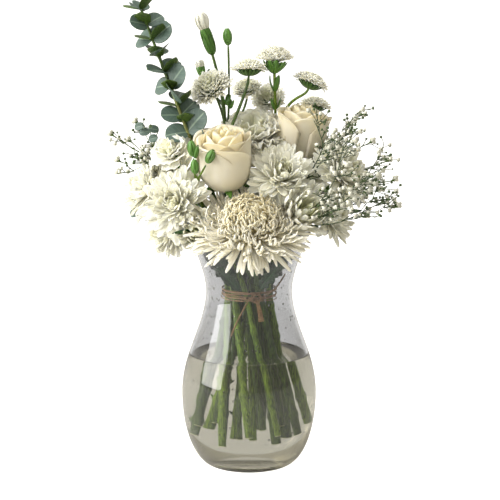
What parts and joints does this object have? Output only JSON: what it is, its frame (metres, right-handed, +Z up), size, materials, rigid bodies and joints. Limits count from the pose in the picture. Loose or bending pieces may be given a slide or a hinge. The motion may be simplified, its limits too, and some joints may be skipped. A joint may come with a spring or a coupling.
{
  "type": "mixed bouquet in a glass vase",
  "caption": "Hand-tied bouquet of mixed cut flowers and foliage standing in water in a waisted clear glass vase.",
  "frame": {"origin": "centre of the vase's flat underside", "axes": "+Z up along the vase's axis; the bouquet's face looks along -Y and its eucalyptus leans towards -X"},
  "size_m": [0.2971, 0.2232, 0.4917],
  "materials": {
    "glass": "clear, with seeds",
    "water": "clear, slightly beige",
    "raffia": "dry fibre",
    "rose_petal": "velvety cream petal",
    "chrysanthemum_petal": "smooth white petal",
    "carnation_petal": "crimped white petal",
    "bud_sepal": "waxy green sepal",
    "leaf": "matt dark leaf",
    "stem": "fresh green stem",
    "eucalyptus": "waxy blue-green leaf"
  },
  "bodies": {
    "root": {"bud_green_lower": "bud_sepal", "bud_green_round": "bud_sepal", "bud_green_tall": "bud_sepal", "bud_green_upper": "bud_sepal", "bud_white_small": "bud_sepal", "bud_white_tip": "bud_sepal", "button_back": "chrysanthemum_petal", "button_far_right": "chrysanthemum_petal", "button_left": "chrysanthemum_petal", "button_mid": "chrysanthemum_petal", "button_right": "chrysanthemum_petal", "button_top": "chrysanthemum_petal", "carnation_centre": "carnation_petal", "carnation_high": "carnation_petal", "carnation_left": "carnation_petal", "disbud_mum": "chrysanthemum_petal", "leaf_left": "leaf", "leaf_rear_left": "leaf", "leaf_rear_right": "leaf", "leaf_right": "leaf", "mum_front_back": "chrysanthemum_petal", "mum_front_face": "chrysanthemum_petal", "mum_left_face": "chrysanthemum_petal", "mum_left_low": "chrysanthemum_petal", "mum_left_opening": "chrysanthemum_petal", "mum_left_side": "chrysanthemum_petal", "mum_low_opening": "chrysanthemum_petal", "mum_low_side": "chrysanthemum_petal", "mum_rear_left": "chrysanthemum_petal", "mum_rear_low": "chrysanthemum_petal", "mum_rear_right": "chrysanthemum_petal", "mum_right_face": "chrysanthemum_petal", "raffia_end_long": "raffia", "raffia_end_short": "raffia", "raffia_wrap": "raffia", "rose_front": "rose_petal", "rose_rear": "rose_petal", "rose_right": "rose_petal", "stem_button_left": "stem", "stem_button_right": "stem", "stem_carnation": "stem", "stem_carnation_buds": "stem", "stem_carnation_left": "stem", "stem_disbud": "stem", "stem_eucalyptus": "eucalyptus", "stem_gypsophila_left": "stem", "stem_gypsophila_right": "stem", "stem_mum_front": "stem", "stem_mum_left": "stem", "stem_mum_low_right": "stem", "stem_mum_rear": "stem", "stem_mum_rear_left": "stem", "stem_mum_rear_right": "stem", "stem_mum_right": "stem", "stem_rose_front": "stem", "stem_rose_rear": "stem", "stem_rose_right": "stem", "vase": "glass", "water": "water"}
  },
  "joints": []
}
